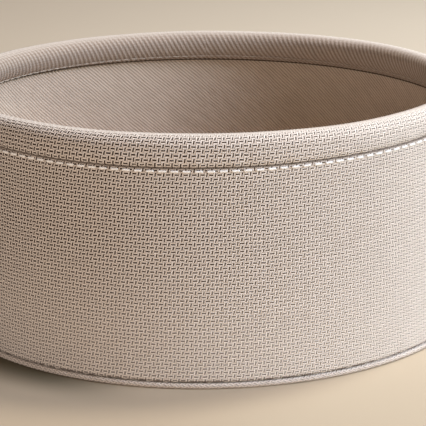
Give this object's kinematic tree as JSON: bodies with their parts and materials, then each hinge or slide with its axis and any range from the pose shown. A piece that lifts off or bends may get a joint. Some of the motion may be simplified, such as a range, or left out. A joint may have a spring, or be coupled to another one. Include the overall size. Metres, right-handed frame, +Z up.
{
  "type": "fabric storage bin",
  "caption": "Round low storage bin of coarse woven cloth, with a stuffed rolled rim, a boarded wall, a cloth lining and a piped foot.",
  "frame": {"origin": "on the floor under the middle of the base, at the lowest point of the base cloth", "axes": "+Z up along the bin's axis; -Y is the side that is looked at, and the sewn joint of the wall is at the back on +Y"},
  "size_m": [0.2864, 0.2864, 0.1215],
  "materials": {
    "linen_cloth": "coarse two by two basket weave, warm taupe, matt",
    "lining_cloth": "the same basket weave, inside, matt",
    "piping_cloth": "finer cloth of the same colour, folded round a cord",
    "topstitch_thread": "off-white twisted sewing thread",
    "tonal_thread": "twisted sewing thread in the cloth's colour",
    "grey_board": "solid grey board",
    "kraft_tape": "gummed kraft paper",
    "foam_rope": "soft closed-cell foam rope",
    "cotton_cord": "twisted cotton cord"
  },
  "bodies": {
    "root": {"outer_wall": "linen_cloth", "outer_side_seam_thread": "tonal_thread", "wall_stiffener": "grey_board", "stiffener_joint_tape": "kraft_tape", "lining_wall": "lining_cloth", "lining_side_seam_thread": "tonal_thread", "lining_floor": "lining_cloth", "lining_floor_seam_thread": "tonal_thread", "rim_cover": "linen_cloth", "rim_core": "foam_rope", "rim_seam_thread": "tonal_thread", "rim_topstitch": "topstitch_thread", "rim_bobbin_stitch": "tonal_thread", "base_cloth": "linen_cloth", "base_board": "grey_board", "piping_cover": "piping_cloth", "piping_cord": "cotton_cord", "base_seam_thread": "tonal_thread"}
  },
  "joints": []
}
